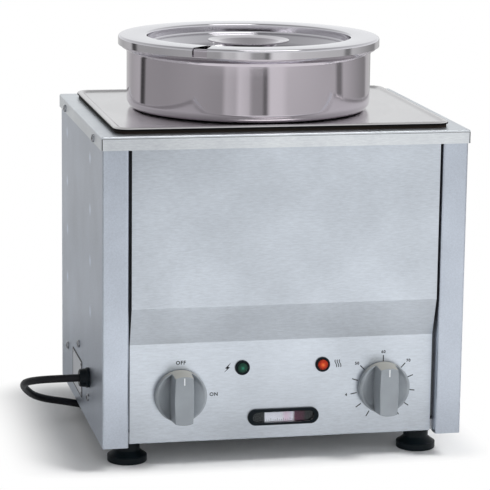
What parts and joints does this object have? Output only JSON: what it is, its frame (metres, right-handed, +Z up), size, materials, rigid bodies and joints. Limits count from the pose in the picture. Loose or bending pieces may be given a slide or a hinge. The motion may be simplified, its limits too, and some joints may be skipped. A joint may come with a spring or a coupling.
{
  "type": "bain marie",
  "caption": "Counter-top electric water-bath food warmer: folded steel casing, heated well, adaptor plate and a lidded round pot, with switch, thermostat, lamps and thermometer.",
  "frame": {"origin": "on the counter, under the middle of the casing and its knobs", "axes": "+X to the user's right, +Y away from the user, +Z up"},
  "size_m": [0.4184, 0.4443, 0.4012],
  "materials": {
    "brushed_body": "brushed",
    "fascia_steel": "brushed",
    "pan_steel": "mill finish",
    "well_steel": "satin",
    "pot_steel": "polished",
    "lid_steel": "polished",
    "screw_steel": "plated",
    "foot_plastic": "moulded",
    "insulation": "felted",
    "element_sheath": "heat darkened",
    "probe_copper": "satin",
    "knob_plastic": "satin moulded",
    "control_plastic": "moulded",
    "black_plastic": "moulded",
    "green_lens": "translucent",
    "red_lens": "translucent",
    "lamp_bulb": "frosted",
    "scale_card": "printed",
    "clear_window": "clear",
    "cord_sheath": "satin",
    "plug_plastic": "moulded",
    "plug_metal": "turned",
    "tie_fabric": "woven",
    "rating_metal": "anodised"
  },
  "bodies": {
    "cabinet": {"base_pan": "pan_steel", "cable_gland": "black_plastic", "control_nuts": "screw_steel", "cord_coil": "cord_sheath", "cord_tie": "tie_fabric", "cover_screws": "screw_steel", "earth_stud": "screw_steel", "element_clamps": "pan_steel", "foot_nuts": "screw_steel", "front_panel": "fascia_steel", "gland_nut": "black_plastic", "heat_lamp_bezel": "black_plastic", "heat_lamp_bulb": "lamp_bulb", "heat_lamp_lens": "red_lens", "heating_element": "element_sheath", "left_side_panel": "brushed_body", "mains_cord": "cord_sheath", "panel_screws": "screw_steel", "plug_body": "plug_plastic", "plug_pins": "plug_metal", "power_lamp_bezel": "black_plastic", "power_lamp_bulb": "lamp_bulb", "power_lamp_lens": "green_lens", "rating_plate": "rating_metal", "rating_rivets": "screw_steel", "rear_panel": "brushed_body", "reflector_tray": "pan_steel", "right_side_panel": "brushed_body", "stud_nuts": "screw_steel", "supply_tail": "cord_sheath", "switch_body": "control_plastic", "tank_insulation": "insulation", "terminal_block": "control_plastic", "thermometer_bezel": "black_plastic", "thermometer_card": "scale_card", "thermometer_case": "black_plastic", "thermometer_lens": "clear_window", "thermometer_probe": "probe_copper", "thermostat_body": "control_plastic", "thermostat_probe": "probe_copper", "top_cover": "brushed_body", "water_tank": "well_steel", "well_studs": "screw_steel"},
    "foot_front_left_set": {"foot_front_left": "foot_plastic", "foot_front_left_stud": "screw_steel"},
    "foot_front_right_set": {"foot_front_right": "foot_plastic", "foot_front_right_stud": "screw_steel"},
    "foot_rear_left_set": {"foot_rear_left": "foot_plastic", "foot_rear_left_stud": "screw_steel"},
    "foot_rear_right_set": {"foot_rear_right": "foot_plastic", "foot_rear_right_stud": "screw_steel"},
    "switch_knob_set": {"switch_knob": "knob_plastic", "switch_shaft": "screw_steel"},
    "thermostat_knob_set": {"thermostat_knob": "knob_plastic", "thermostat_shaft": "screw_steel"},
    "plate": {"adaptor_plate": "well_steel"},
    "pot": {"round_pot": "pot_steel", "pot_band": "pot_steel"},
    "lid": {"pot_lid": "lid_steel", "lid_handle": "lid_steel"}
  },
  "joints": [
    {"name": "switch_turn", "type": "hinge", "parent": "cabinet", "child": "switch_knob_set", "pos_m": [-0.1, -0.1285, 0.073], "axis": [0, 1, 0], "range_deg": [0, 90]},
    {"name": "thermostat_turn", "type": "hinge", "parent": "cabinet", "child": "thermostat_knob_set", "pos_m": [0.1, -0.1285, 0.073], "axis": [0, 1, 0], "range_deg": [-150, 150]},
    {"name": "plate_lift", "type": "slide", "parent": "cabinet", "child": "plate", "axis": [0, 0, 1], "range_m": [0, 0.16]},
    {"name": "pot_lift", "type": "slide", "parent": "plate", "child": "pot", "axis": [0, 0, 1], "range_m": [0, 0.16]},
    {"name": "lid_lift", "type": "slide", "parent": "pot", "child": "lid", "axis": [0, 0, 1], "range_m": [0, 0.06]},
    {"name": "foot_front_left_level", "type": "slide", "parent": "cabinet", "child": "foot_front_left_set", "axis": [0, 0, 1], "range_m": [-0.008, 0]},
    {"name": "foot_front_right_level", "type": "slide", "parent": "cabinet", "child": "foot_front_right_set", "axis": [0, 0, 1], "range_m": [-0.008, 0]},
    {"name": "foot_rear_left_level", "type": "slide", "parent": "cabinet", "child": "foot_rear_left_set", "axis": [0, 0, 1], "range_m": [-0.008, 0]},
    {"name": "foot_rear_right_level", "type": "slide", "parent": "cabinet", "child": "foot_rear_right_set", "axis": [0, 0, 1], "range_m": [-0.008, 0]}
  ]
}
